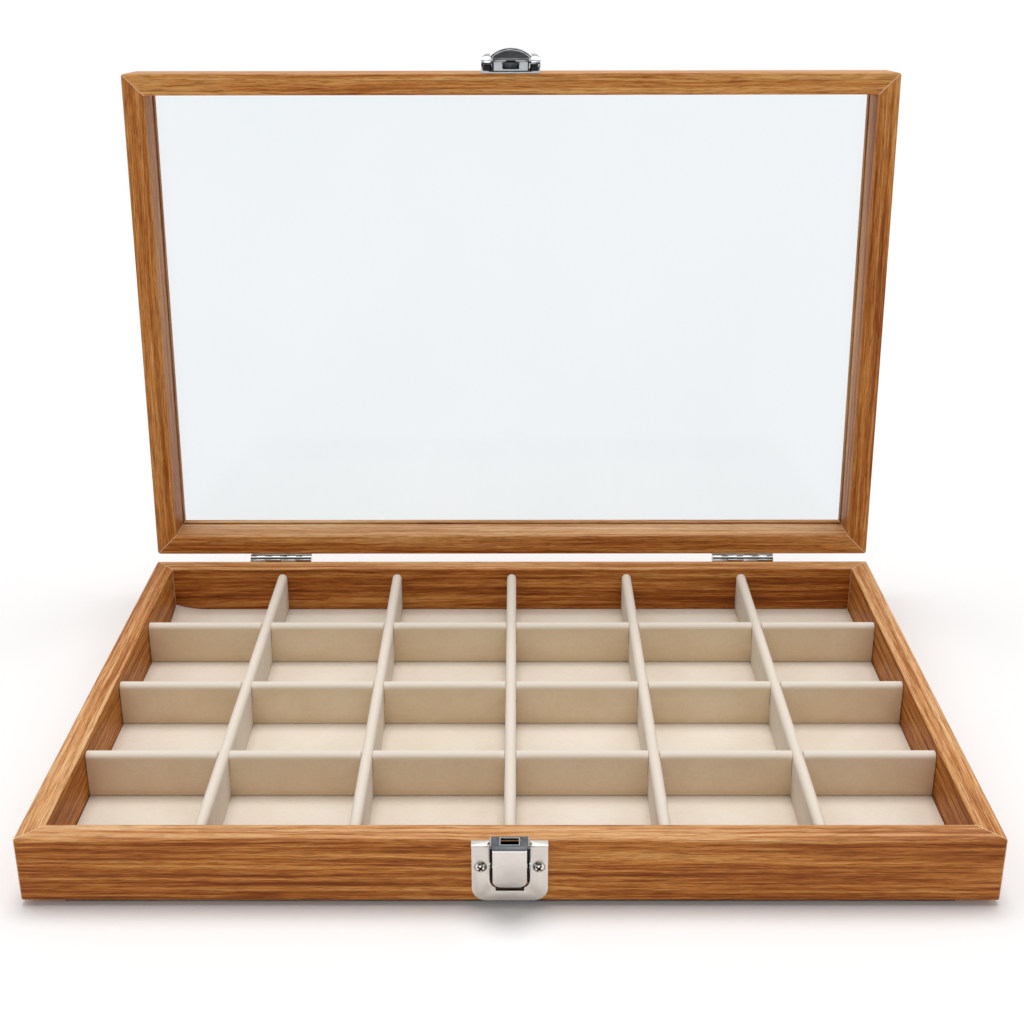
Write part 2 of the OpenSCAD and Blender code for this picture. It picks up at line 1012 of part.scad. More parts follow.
module catch_cover() {
    color(polished)
        lid_pose()
            on_front()
                difference() {
                    intersection() {
                        up_extrude(cover_foot, catch_h)
                            cover_arch(catch_t, 0);
                        side_extrude(cover_w)
                            cover_side(0, 0);
                    }
                    intersection() {
                        up_extrude(-past, catch_h)
                            cover_arch(-past, cover_t);
                        side_extrude(cover_w)
                            cover_side(-past, cover_t);
                    }
                    translate([-cover_w, 0, 0])
                        cube([2 * cover_w, catch_foot + box_h + 0.1, cover_foot_out]);
                }
}

// The tongue is a strip that steps out from the back plate and hangs down to a barb.
module catch_tongue() {
    knee = tongue_root - tongue_knee;
    color(black_steel)
        lid_pose()
            on_front()
                side_extrude(tongue_w)
                    polygon([
                        [catch_t, tongue_root + tongue_root_h],
                        [catch_t + tongue_t, tongue_root + tongue_root_h],
                        [catch_t + tongue_t, tongue_root],
                        [tongue_out + tongue_t, knee],
                        [tongue_out + tongue_t, tongue_foot + barb_h],
                        [barb_out, tongue_foot + barb_h],
                        [barb_out, tongue_foot + barb_h - barb_t],
                        [tongue_out + tongue_t / 2, tongue_foot],
                        [tongue_out, tongue_foot],
                        [tongue_out, knee - tongue_step],
                        [catch_t, tongue_root - tongue_step]
                    ]);
}

module catch_screws() {
    color(polished)
        lid_pose()
            catch_screw_places() pan_screw(catch_pan_r, catch_screw_l, 30);
}

felt_strip_front();
felt_strip_middle();
felt_strip_back();
bottom_panel();
floor_pad();
base_front_rail();
base_back_rail();
base_left_rail();
base_right_rail();
column_divider(1);  // column_divider_1
column_divider(2);  // column_divider_2
column_divider(3);  // column_divider_3
column_divider(4);  // column_divider_4
column_divider(5);  // column_divider_5
row_divider(1);  // row_divider_1
row_divider(2);  // row_divider_2
row_divider(3);  // row_divider_3
lid_front_rail();
lid_back_rail();
lid_left_rail();
lid_right_rail();
glass_pane();
hinge_base_leaf_left();
hinge_base_leaf_right();
hinge_lid_leaf_left();
hinge_lid_leaf_right();
hinge_pin_left();
hinge_pin_right();
hinge_base_screws();
hinge_lid_screws();
latch_plate();
latch_housing();
latch_lever();
latch_pin();
latch_spring();
latch_screws();
catch_body();
catch_cover();
catch_tongue();
catch_screws();
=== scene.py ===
# %% [markdown]
# The mineral specimen box
#
# This lesson dresses a shallow hardwood case: a divided tray, a glazed lid that stands open, two small
# hinges and a nickel latch. The construction is already exact and comes from the frame, so the work here
# is in finishes, softened edges and the soft parts. Everything is in metres, with X along the front, Y
# going to the back and Z up, and the origin on the surface under the middle of the case.

# %% Load the frame
import json
import math
import random
import bpy
from mathutils import Matrix, Vector


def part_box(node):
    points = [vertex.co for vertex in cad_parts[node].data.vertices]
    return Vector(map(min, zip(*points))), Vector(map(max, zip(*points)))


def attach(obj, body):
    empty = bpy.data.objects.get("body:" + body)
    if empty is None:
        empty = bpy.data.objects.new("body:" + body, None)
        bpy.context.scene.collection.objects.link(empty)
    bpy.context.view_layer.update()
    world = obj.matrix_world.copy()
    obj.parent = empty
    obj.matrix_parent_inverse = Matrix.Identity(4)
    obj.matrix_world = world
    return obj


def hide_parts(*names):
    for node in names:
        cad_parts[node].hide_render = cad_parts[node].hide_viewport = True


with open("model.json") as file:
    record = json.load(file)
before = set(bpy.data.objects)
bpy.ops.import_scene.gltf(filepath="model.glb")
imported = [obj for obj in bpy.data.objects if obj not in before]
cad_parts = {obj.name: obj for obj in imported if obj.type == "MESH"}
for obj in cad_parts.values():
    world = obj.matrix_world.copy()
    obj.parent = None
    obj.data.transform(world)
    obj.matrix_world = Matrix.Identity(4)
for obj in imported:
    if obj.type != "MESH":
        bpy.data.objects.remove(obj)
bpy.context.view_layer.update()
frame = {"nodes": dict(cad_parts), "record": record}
nodes = frame["nodes"]
joint = {j["name"]: j for j in frame["record"]["behaviour"]["joints"]}
slots = {row["node"]: row["material_slot"] for row in frame["record"]["subparts"]}
MM = 0.001
random.seed(7)

# %% [markdown]
# The main sizes can all be read off the frame: the outer faces of the rails give the case, and the hinge
# joint gives the axis that the lid turns about. Only a few small sizes, such as the thickness of the
# press lever, are written here, because no piece's box shows them.

# %% Read the main sizes
front_low, front_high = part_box("base_front_rail")
FRONT = front_low[1]
BASE_TOP = front_high[2]
CASE_W = 2 * -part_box("base_left_rail")[0][0]
CASE_D = 2 * -FRONT
DIVIDER_ROUND = 1.5 * MM
DIVIDER_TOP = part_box("row_divider_1")[1][2] - DIVIDER_ROUND
hinge_axis = Vector(joint["lid_hinge"]["pos_m"])
LID_OPEN = math.radians(joint["lid_hinge"]["range_deg"][1])
print("case", round(CASE_W, 4), round(CASE_D, 4), "base top", round(BASE_TOP, 4))

# %% Read the latch's sizes
LATCH_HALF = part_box("latch_plate")[1][0]
KEEPER_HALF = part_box("latch_housing")[1][0]
EYE_HALF_W = 3.2 * MM
EYE_HALF_D = 1.95 * MM
EYE_OUT = 3.95 * MM
lever_low, lever_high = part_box("latch_lever")
LEVER_TOP = lever_high[2]
LEVER_T = 1.2 * MM
LEVER_FOOT_OUT = 3.2 * MM
LEVER_TOP_OUT = FRONT - lever_low[1]
LEVER_SLOPE = (LEVER_TOP_OUT - LEVER_FOOT_OUT) / (LEVER_TOP - lever_low[2])
LEVER_BACK = LEVER_TOP_OUT - (LEVER_TOP - BASE_TOP) * LEVER_SLOPE - LEVER_T
print("latch half width", round(LATCH_HALF, 4), "lever slope", round(LEVER_SLOPE, 3))

# %% [markdown]
# The camera stands a little over half a metre in front of the case's middle and looks down on it. Its
# place and lens come from lining up the case's corners with the photograph. The picture's centre lies a
# little under the lens axis, which is what the small vertical shift says.

# %% Place the camera
PICTURE = 1024
FOCAL_PX = 1499.17
AXIS_ROW = 470
CAMERA_PLACE = Vector((2.65, -555.70, 342.89)) * MM
pitch, yaw, roll = (math.radians(a) for a in (21.676, -0.205, -0.121))
ahead = Vector((math.sin(yaw) * math.cos(pitch), math.cos(yaw) * math.cos(pitch), -math.sin(pitch)))
level = Vector((math.cos(yaw), -math.sin(yaw), 0))
upward = level.cross(ahead)
right = level * math.cos(roll) + upward * math.sin(roll)
up = upward * math.cos(roll) - level * math.sin(roll)
lens = bpy.data.cameras.new("camera")
lens.sensor_width = 36
lens.lens = FOCAL_PX / PICTURE * lens.sensor_width
lens.shift_y = (AXIS_ROW - PICTURE / 2) / PICTURE
camera = bpy.data.objects.new("camera", lens)
bpy.context.scene.collection.objects.link(camera)
turn = Matrix((right, up, -ahead)).transposed().to_4x4()
camera.matrix_world = Matrix.Translation(CAMERA_PLACE) @ turn
bpy.context.scene.camera = camera
print("lens", round(lens.lens, 2), "mm, shift", round(lens.shift_y, 4))

# %% [markdown]
# Shader maths reads best as plain expressions. This class wraps one output socket, and adding or
# multiplying two of them adds the Math node that does it. It is only for numbers; colours go through
# the mixing method of the next class.

# %% Shader values as expressions
class Value:
    def __init__(self, tree, socket):
        self.tree = tree
        self.socket = socket

    def maths(self, operation, *others):
        node = self.tree.nodes.new("ShaderNodeMath")
        node.operation = operation
        for slot, item in zip(node.inputs, (self,) + others):
            if isinstance(item, Value):
                self.tree.links.new(item.socket, slot)
            else:
                slot.default_value = item
        return Value(self.tree, node.outputs[0])

    def __add__(self, other):
        return self.maths("ADD", other)

    def __mul__(self, other):
        return self.maths("MULTIPLY", other)

    def __sub__(self, other):
        return self.maths("SUBTRACT", other)

    def __rsub__(self, other):
        return (self * -1) + other

    def __abs__(self):
        return self.maths("ABSOLUTE")

    __radd__ = __add__
    __rmul__ = __mul__

    def below(self, painted_rim_reflection):
        return self.maths("LESS_THAN", painted_rim_reflection)

    def lesser(self, other):
        return self.maths("MINIMUM", other)

    def greater(self, other):
        return self.maths("MAXIMUM", other)

    def step(self, low, high):
        """A soft step: 0 under low, 1 over high. With low over high it falls instead."""
        node = self.tree.nodes.new("ShaderNodeMapRange")
        node.interpolation_type = "SMOOTHSTEP"
        for name, item in (("From Min", min(low, high)), ("From Max", max(low, high))):
            node.inputs[name].default_value = item
        node.inputs["To Min"].default_value = 0 if low < high else 1
        node.inputs["To Max"].default_value = 1 if low < high else 0
        self.tree.links.new(self.socket, node.inputs["Value"])
        return Value(self.tree, node.outputs[0])


print("value operators:", [name for name in vars(Value) if name.startswith("__")])

# %% [markdown]
# A finish is one material. It starts from the principled shader, and its methods add the few kinds of
# node that the finishes below share. Colours are written as they look on a screen, as hex numbers, and
# turned to the linear values that the shader wants.

# %% A material builder
def linear(hex_colour):
    channels = [int(hex_colour[i:i + 2], 16) / 255 for i in (1, 3, 5)]
    bent = [c / 12.92 if c <= 0.04045 else ((c + 0.055) / 1.055) ** 2.4 for c in channels]
    return (*bent, 1)


class Finish:
    def __init__(self, name):
        self.material = bpy.data.materials.new(name)
        self.material.use_nodes = True
        self.tree = self.material.node_tree
        self.shader = self.tree.nodes["Principled BSDF"]

    def add(self, kind, settings, inputs):
        node = self.tree.nodes.new(kind)
        for name, item in settings.items():
            setattr(node, name, item)
        for name, item in inputs.items():
            self.join(node.inputs[name], item)
        return node

    def join(self, slot, item):
        if isinstance(item, Value):
            self.tree.links.new(item.socket, slot)
        else:
            slot.default_value = item

    def value(self, socket):
        return Value(self.tree, socket)

    def place(self, scale=(1, 1, 1), turn=(0, 0, 0), shift=(0, 0, 0)):
        """Object coordinates, turned and shifted, then stretched by scale."""
        source = self.add("ShaderNodeTexCoord", {}, {})
        turned = self.add("ShaderNodeMapping", {}, {
            "Vector": self.value(source.outputs["Object"]), "Rotation": turn, "Location": shift})
        scaled = self.add("ShaderNodeMapping", {}, {
            "Vector": self.value(turned.outputs[0]), "Scale": scale})
        return self.value(scaled.outputs[0])

    def facing(self):
        """The direction that the surface faces, in the object's own axes."""
        return self.value(self.add("ShaderNodeTexCoord", {}, {}).outputs["Normal"])

    def axes(self, vector):
        parts = self.add("ShaderNodeSeparateXYZ", {}, {0: vector})
        return [self.value(out) for out in parts.outputs]

    def vector(self, x, y, z):
        return self.value(self.add("ShaderNodeCombineXYZ", {}, {0: x, 1: y, 2: z}).outputs[0])

    def noise(self, vector, scale=1.0, detail=2.0, rough=0.5):
        node = self.add("ShaderNodeTexNoise", {}, {
            "Vector": vector, "Scale": scale, "Detail": detail, "Roughness": rough})
        return self.value(node.outputs[0])

    def mix(self, amount, low, high):
        node = self.add("ShaderNodeMix", {"data_type": "RGBA"}, {0: amount, 6: low, 7: high})
        return self.value(node.outputs[2])

    def ramp(self, amount, stops):
        node = self.add("ShaderNodeValToRGB", {}, {0: amount})
        points = node.color_ramp.elements
        while len(points) < len(stops):
            points.new(0.5)
        for point, (where, colour) in zip(points, stops):
            point.position = where
            point.color = linear(colour)
        return self.value(node.outputs[0])

    def bump(self, height, distance, strength=1.0):
        node = self.add("ShaderNodeBump", {}, {
            "Height": height, "Distance": distance, "Strength": strength})
        self.join(self.shader.inputs["Normal"], self.value(node.outputs[0]))

    def let_light_through(self, tint):
        """Lamp and bounce rays pass straight through, while every other ray meets the finish."""
        rays = self.add("ShaderNodeLightPath", {}, {})
        lit = self.value(rays.outputs["Is Shadow Ray"]) + self.value(rays.outputs["Is Diffuse Ray"])
        clear = self.add("ShaderNodeBsdfTransparent", {}, {"Color": tint})
        both = self.add("ShaderNodeMixShader", {}, {
            0: lit.lesser(1), 1: self.value(self.shader.outputs[0]), 2: self.value(clear.outputs[0])})
        self.tree.links.new(both.outputs[0], self.tree.nodes["Material Output"].inputs["Surface"])

    def set(self, **inputs):
        for name, item in inputs.items():
            self.join(self.shader.inputs[name.replace("_", " ")], item)
        return self


finish = {}
print("finish methods:", [name for name in vars(Finish) if not name.startswith("_")])

# %% [markdown]
# The rails are one species of reddish-brown hardwood with a fine, straight grain. Grain could be drawn
# with a wave texture, but real grain is irregular, so it is layered here from noise that is stretched
# along the rail. The noise is solid, so each face of a rail cuts through it as a saw would. The frame
# has the lid open, so a point of the lid is first turned back about the hinge, which lets the grain
# follow the shut lid's own faces.

# %% Grain
def lid_turn():
    """Turn and shift that bring a point of the open lid back to its shut place."""
    turned = Matrix.Rotation(LID_OPEN, 3, "X") @ hinge_axis
    return {"turn": (LID_OPEN, 0, 0), "shift": tuple(hinge_axis - turned)}


def streaks(f, place, seed, along, across, **texture):
    """Noise with so many cells to the metre along the grain and across it."""
    run, side, rise = place
    return f.noise(f.vector(run * along + seed, side * across, rise * across), **texture)


SWAY = 1.6 * MM
print("lid is turned back by", round(math.degrees(LID_OPEN), 1), "degrees")

# %% [markdown]
# Four layers make the wood: soft bands, fine lines inside them, short dark pores and the thin outlines
# of the growth rings. Faces that look up get the same tones paler, as painted light from above, so the
# two colour ramps are mixed by the direction that the face looks in. The faces of the two front rails
# that look to the front get a painted shift too: painted light on the lid's rail, painted shade on the
# base's. That shift and the share of the paler ramp are set to the photograph, so they hold its light and
# shade. The mitres get a thin pale line where the rails were glued.

# %% Hardwood
HEART_TONES = [(0.34, "#7a3a10"), (0.43, "#a55d20"), (0.50, "#c17a38"), (0.56, "#d08e4a"), (0.66, "#e0aa66")]
PAINTED_TOP_TONES = [(0.36, "#9a5a28"), (0.43, "#bf7f47"), (0.50, "#d69c64"), (0.56, "#e4b27e"), (0.64, "#f0c698")]


def hardwood(name, along, on_lid, seed, front_painted_light, top_light_share):
    """front_painted_light paints front faces lighter (over 0) or darker; top_light_share paints tops paler.
    """
    f = Finish(name)
    x, y, z = f.axes(f.place(**(lid_turn() if on_lid else {})))
    run, across = (x, y) if along == "x" else (y, x)
    sway = (streaks(f, (run, across, z), seed, 22, 60, detail=1.0) - 0.5) * SWAY
    place = (run, across + sway, z + sway)
    bands = streaks(f, place, seed, 8, 620, detail=2.0)
    lines = streaks(f, place, seed, 60, 2300, detail=4.0, rough=0.75)
    pores = streaks(f, place, seed, 150, 3000, detail=1.0)
    rings = streaks(f, place, seed, 6, 420, detail=2.0)
    drift = streaks(f, place, seed, 5, 40, detail=1.0)
    faces = f.axes(f.facing())
    to_front = faces[1].step(-0.3, -0.9)
    # Faces that look to the front are shifted: painted light where the shift is over 0, painted shade under
    # 0.
    tone = bands * 0.50 + lines * 0.55 - 0.025 + (drift - 0.5) * 0.28 + to_front * front_painted_light
    # Faces that look up take the paler ramp, as painted light from above.
    painted_top_light = faces[2].step(0.3, 0.9) * top_light_share
    colour = f.mix(painted_top_light, f.ramp(tone, HEART_TONES), f.ramp(tone, PAINTED_TOP_TONES))
    ring = abs(rings - 0.5).step(0.035, 0.005)
    dark = pores.step(0.45, 0.38) * 0.40 + lines.step(0.42, 0.36) * 0.25 + ring * 0.30
    colour = f.mix(dark * (1 - painted_top_light * 0.3), colour, linear("#6a310e"))
    seam = mitre_seam(x, y)
    colour = f.mix(seam * 0.8, colour, linear("#f6d9b2"))
    # Painted shade, nearly black, in the latch plate's slot.
    if name == "hardwood_base_front_rail":
        colour = f.mix(latch_slot_shade(x, y, z), colour, linear("#0b0a09"))
    f.bump(lines * 0.6 + pores * 0.4 - seam * 0.5, 0.1 * MM, 0.5)
    return f.set(Base_Color=colour, Roughness=lines * -0.16 + 0.55, Specular_IOR_Level=0.15).material


def mitre_seam(x, y):
    """1 on the mitres, where a point is as far from the case's end as from its front or back."""
    return abs((CASE_W / 2 - abs(x)) - (CASE_D / 2 - abs(y))).step(0.30 * MM, 0.12 * MM)


def latch_slot_shade(x, y, z):
    """The wood behind the latch plate, which its slot shows as painted shade, nearly black."""
    behind = y.step(FRONT + 0.05 * MM, FRONT + 0.25 * MM) * y.below(FRONT + 2.3 * MM)
    return abs(x).below(LATCH_HALF) * behind * z.below(BASE_TOP - 2 * MM)

# %% Make the wood of each rail
RAIL_RUNS = {"front": "x", "back": "x", "left": "y", "right": "y"}
# Painted light on the lid front rail's front face, painted shade on the base front rail's.
FRONT_PAINTED_LIGHT = {"base_front_rail": -0.04, "lid_front_rail": 0.07}
for part in ("base", "lid"):
    for place, (side, along) in enumerate(RAIL_RUNS.items()):
        name = f"{part}_{side}_rail"
        seed = place * 3.7 + (11.3 if part == "lid" else 0)
        # How much painted light from above the rail's tops take.
        top_light_share = 0.3 if name == "lid_front_rail" else 0.85
        finish[name] = hardwood(
            "hardwood_" + name, along, part == "lid", seed, FRONT_PAINTED_LIGHT.get(name, 0), top_light_share)
        print(finish[name].name, "seed", round(seed, 1))

# %% [markdown]
# The suede on the dividers and the floor is a short nap. Up close it is a felt of tiny fibres, and a
# hand's breadth away it shows soft patches where the nap lies one way or the other. Noise at three
# scales gives those, and the shader's own sheen gives the light rim of the fibres. Along the tops of the
# dividers the finish is painted paler, as painted light from above.

# %% Suede
def suede(name, shade, light, lit_above=None):
    """With lit_above, the suede over that height is painted paler, as painted light from above."""
    f = Finish(name)
    spot = f.place()
    nap = f.noise(spot, scale=38.0, detail=3.0, rough=0.6)
    fibre = f.noise(spot, scale=2600.0, detail=2.0, rough=0.7)
    clump = f.noise(spot, scale=620.0, detail=2.0, rough=0.6)
    tone = nap * 0.45 + clump * 0.2 + fibre * 0.35
    colour = f.mix(tone.step(0.30, 0.70), linear(shade), linear(light))
    f.bump(fibre * 0.7 + clump * 0.3, 0.12 * MM, 0.7)
    if lit_above:
        # Painted light from above: the tops of the dividers are paler.
        painted_nap_light = f.axes(spot)[2].step(lit_above - 1.6 * MM, lit_above + 0.8 * MM)
        colour = f.mix(painted_nap_light, colour, linear("#ece1d2"))
    f.set(Base_Color=colour, Roughness=fibre * -0.08 + 0.97, Sheen_Weight=0.15, Sheen_Roughness=0.6)
    return f.set(Specular_IOR_Level=0.15).material


finish["suede_floor"] = suede("suede_floor", "#e3d6c3", "#eee5d8")
# The rows' suede is painted darker than the columns', as painted shade on their fronts.
finish["suede_row"] = suede("suede_row", "#dcc4a2", "#e9d6ba", DIVIDER_TOP)
finish["suede_column"] = suede("suede_column", "#dcd1c1", "#e9e0d4", DIVIDER_TOP)
print("suedes:", [name for name in finish if name.startswith("suede")])

# %% [markdown]
# The felt under the case is coarse and nearly black, and a strong bump on one rough noise is enough for
# it. The plywood of the bottom panel is paler than the rails. Its face veneer has long stretched grain,
# with slow clouds of colour in it.

# %% Felt and plywood
def black_felt():
    f = Finish("black_felt")
    fibre = f.noise(f.place(scale=(1, 1, 0.5)), scale=1500.0, detail=3.0, rough=0.7)
    f.bump(fibre, 0.4 * MM, 0.9)
    colour = f.mix(fibre, linear("#1b1815"), linear("#3a352f"))
    return f.set(Base_Color=colour, Roughness=fibre * -0.05 + 0.98, Sheen_Weight=0.3).material


def plywood():
    f = Finish("plywood")
    x, y, z = f.axes(f.place())
    grain = f.noise(f.vector(x * 6, y * 260, z * 40), detail=4.0, rough=0.6)
    cloud = f.noise(f.vector(x * 5, y * 9, z), detail=2.0)
    colour = f.ramp(grain * 0.6 + cloud * 0.4, [(0.3, "#b08350"), (0.5, "#c79c68"), (0.7, "#d8b382")])
    f.bump(grain, 0.2 * MM, 0.5)
    return f.set(Base_Color=colour, Roughness=grain * -0.1 + 0.68).material


finish["black_felt"] = black_felt()
finish["plywood"] = plywood()
print(finish["black_felt"].name, "and", finish["plywood"].name)

# %% [markdown]
# The fittings are plated steel. The latch's plate is satin: fine scratches that run one way spread each
# highlight. The hinges and the small screws are polished. A worn look is left out because the
# photographed fittings look new, but both finishes carry the faint smudges that any handled metal has.
# The spring and the catch's tongue are blackened.

# %% Plated and blackened steel
def hairlines(f):
    """Scratches that run along X, and the smudges over them."""
    x, y, z = f.axes(f.place())
    hair = f.noise(f.vector(x * 220, y * 5200, z * 5200), detail=2.0, rough=0.6)
    return hair, f.noise(f.place(), scale=160.0, detail=3.0, rough=0.6)


def nickel(name, shade, light, rough, brushed):
    f = Finish(name)
    hair, smudge = hairlines(f)
    tone = hair * brushed + smudge * (1 - brushed)
    colour = f.mix(tone.step(0.3, 0.7), linear(shade), linear(light))
    f.bump(hair, 0.02 * MM * (0.3 + brushed), 0.2)
    spread = smudge * 0.12 + hair * (0.10 * brushed) + (rough - 0.06)
    return f.set(Base_Color=colour, Metallic=1.0, Roughness=spread).material


def black_steel():
    f = Finish("blackened_steel")
    cloud = f.noise(f.place(), scale=500.0, detail=3.0, rough=0.6)
    colour = f.mix(cloud.step(0.3, 0.7), linear("#1c1d20"), linear("#35373b"))
    f.bump(cloud, 0.02 * MM, 0.4)
    return f.set(Base_Color=colour, Metallic=0.7, Roughness=cloud * 0.2 + 0.35).material


finish["satin_nickel"] = nickel("satin_nickel", "#d8d1c9", "#e1dcd5", 0.36, 0.6)
finish["polished_nickel"] = nickel("polished_nickel", "#aeb0b2", "#cfd1d2", 0.10, 0.15)
finish["blackened_steel"] = black_steel()
print("metals:", finish["satin_nickel"].name, finish["polished_nickel"].name, finish["blackened_steel"].name)

# %% [markdown]
# The lever and the keeper are plated too, the keeper painted in a darker shade as a painted dark
# reflection, and three things are painted on. The lever's top edge gets a painted highlight, and the
# keeper's eye and its ends a painted highlight on their rim. What lies behind the lever is painted nearly
# black, as painted shade, as in the photograph; plain nickel there would mirror the white world. The lever
# and the keeper are one piece each, so these are masks on one finish, worked out from the place on the
# piece.

# %% Lever and keeper
def latch_nickel(name, shade, light, rough, painted_shade, painted_highlight=None):
    f = Finish(name)
    x, y, z = f.axes(f.place())
    hair, smudge = hairlines(f)
    colour = f.mix((hair * 0.6 + smudge * 0.4).step(0.3, 0.7), linear(shade), linear(light))
    # A painted highlight along the lever's top edge.
    painted_top_highlight = z.step(LEVER_TOP - 0.75 * MM, LEVER_TOP - 0.55 * MM) * z.below(LEVER_TOP)
    colour = f.mix(painted_top_highlight, colour, linear("#f7f5f2"))
    if painted_highlight:
        # A painted highlight on the keeper's rims.
        colour = f.mix(painted_highlight(abs(x), y * -1 + FRONT), colour, linear("#d3d6d8"))
    # Painted shade, nearly black, behind the lever and under the keeper's sheet.
    colour = f.mix(painted_shade(y * -1 + FRONT, z - BASE_TOP), colour, linear("#17181a"))
    f.bump(hair, 0.02 * MM, 0.2)
    spread = smudge * 0.12 + hair * 0.06 + (rough - 0.06)
    return f.set(Base_Color=colour, Metallic=1.0, Roughness=spread).material


def housing_painted_shade(out, rise):
    """Painted shade on the cheeks and the web, which lie under the keeper's sheet."""
    return rise.step(1.5 * MM, 1.1 * MM)


def keeper_rim_highlights(side, out):
    """A painted highlight on the rolled rim round the keeper's eye, and on the sheet's own ends."""
    past_eye = (side - EYE_HALF_W).greater(abs(out - EYE_OUT) - EYE_HALF_D)
    ends = side.step(KEEPER_HALF - 0.5 * MM, KEEPER_HALF - 0.25 * MM)
    return past_eye.step(0.45 * MM, 0.25 * MM).greater(ends) * 0.8


def lever_painted_shade(out, rise):
    """Painted shade on the nose and the flanges, which lie behind the tab's sloping back."""
    back = rise * LEVER_SLOPE + LEVER_BACK
    return (out - back).step(0.05 * MM, -0.05 * MM)


# The keeper is painted in a darker shade of the same plating, as a painted dark reflection.
finish["latch_housing"] = latch_nickel(
    "keeper_nickel", "#5f6367", "#777b7f", 0.20, housing_painted_shade, keeper_rim_highlights)
finish["latch_lever"] = latch_nickel("lever_nickel", "#e0dad2", "#ebe6df", 0.34, lever_painted_shade)
print("latch finishes:", finish["latch_housing"].name, finish["latch_lever"].name)

# %% [markdown]
# The catch on the lid is polished outside and dull inside. Under the cover it is painted pale, as painted
# light, and the openings are painted nearly black, as painted shade, so that they look as deep as in the
# photograph. Each piece lists its painted places from light to dark. The cover's inner side is told by
# the way that it faces, and the openings of the two boxed ears and of the middle by their place on the shut
# lid.

# %% Catch
def catch_nickel(name, painted_inside):
    f = Finish(name)
    x, y, z = f.axes(f.place(**lid_turn()))
    smudge = f.noise(f.place(), scale=260.0, detail=2.0)
    colour = f.mix(smudge, linear("#a3a6a9"), linear("#c3c6c8"))
    dull = smudge * 0
    for amount, shade in painted_inside(f, x, y * -1 + FRONT, z - BASE_TOP):
        colour = f.mix(amount, colour, linear(shade))
        dull = dull.greater(amount)
    spread = smudge * 0.06 + dull * 0.4 + 0.06
    return f.set(Base_Color=colour, Metallic=dull * -0.85 + 1, Roughness=spread).material


def cover_painted_light(f, x, out, rise):
    nx, ny, nz = f.axes(f.facing())
    # Painted light: the cover's inner side is painted pale.
    inward = nz.step(-0.05, -0.25).greater((nx * x.maths("SIGN")).step(-0.1, -0.4))
    return [(inward, "#eceef0")]


def boxes_painted_light_and_shade(f, x, out, rise):
    side = abs(x)
    ear_across = side.step(8.6 * MM, 8.75 * MM) * side.step(12.3 * MM, 12.15 * MM)
    ear_deep = out.step(1.1 * MM, 1.25 * MM) * out.step(4.1 * MM, 3.95 * MM)
    ear = ear_across * ear_deep * rise.step(0.35 * MM, 0.5 * MM)
    hole_across = side.step(4.4 * MM, 3.9 * MM) * out.step(4.5 * MM, 4.4 * MM)
    hole = hole_across * rise.step(3.3 * MM, 3.4 * MM) * rise.below(4.9 * MM)
    # Painted light under the cover; painted shade, nearly black, in the ears' openings and the hole.
    under_cover_light = side.step(8.0 * MM, 7.8 * MM) * out.below(4.3 * MM) * rise.step(4.05 * MM, 4.15 * MM)
    return [(under_cover_light, "#eceef0"), (ear.greater(hole), "#0d0c0c")]


finish["catch_cover"] = catch_nickel("cover_nickel", cover_painted_light)
finish["catch_body"] = catch_nickel("catch_nickel", boxes_painted_light_and_shade)
print("catch finishes:", finish["catch_cover"].name, finish["catch_body"].name)

# %% [markdown]
# The latch's two screws have low round heads with a cross recess, which is already cut in the frame. Its
# arms are under two pixels wide in the picture, so the finish paints shade into the same cross, drawn from
# the distance to two crossing lines. The rim of each head gets a painted dark reflection, as a curved
# mirror's rim has.

# %% Latch screws
head_low, head_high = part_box("latch_screws")
HEAD_R = (head_high[2] - head_low[2]) / 2
HEAD_X = head_high[0] - HEAD_R
HEAD_Z = head_low[2] + HEAD_R
CROSS_TURN = math.radians(53)


def screw_nickel(name):
    f = Finish(name)
    x, y, z = f.axes(f.place())
    across = x - x.maths("SIGN") * HEAD_X
    rise = z - HEAD_Z
    one = abs(across * math.cos(CROSS_TURN) + rise * math.sin(CROSS_TURN))
    two = abs(rise * math.cos(CROSS_TURN) - across * math.sin(CROSS_TURN))
    # Painted shade, nearly black, in the cross recess.
    cross = one.lesser(two).step(0.36 * MM, 0.30 * MM) * one.greater(two).below(1.35 * MM)
    # A painted dark reflection round the rim of the head.
    painted_rim_reflection = (across * across + rise * rise).maths("SQRT").step(1.75 * MM, 2.2 * MM)
    smudge = f.noise(f.place(), scale=300.0, detail=2.0)
    colour = f.mix(smudge, linear("#dad4cb"), linear("#efe9e0"))
    colour = f.mix(painted_rim_reflection * 0.6, colour, linear("#3d3a37"))
    colour = f.mix(cross, colour, linear("#141211"))
    return f.set(Base_Color=colour, Metallic=1.0, Roughness=smudge * 0.1 + 0.16).material


finish["latch_screws"] = screw_nickel("latch_screw_nickel")
print("screw heads", round(HEAD_R * 2, 4), "across")

# %% [markdown]
# The pane is clear glass with a faint cool tint. Its index is set well under the 1.5 of real glass, so
# that its reflection is as faint as in the photograph. A glass shader stops lamp light, because a path
# through it is too rare to find, so the tray behind would lie in a false shadow. For lamp and bounce rays
# the pane is therefore plainly see-through.

# %% Glass
def clear_glass():
    f = Finish("clear_glass")
    haze = f.noise(f.place(), scale=14.0, detail=1.0)
    colour = f.mix(haze, linear("#ebf0f2"), linear("#f1f4f6"))
    f.set(Base_Color=colour, Roughness=0.0, IOR=1.22, Transmission_Weight=1.0)
    f.let_light_through((0.95, 0.97, 0.97, 1))
    return f.material


finish["clear_glass"] = clear_glass()
print("finishes:", len(finish))

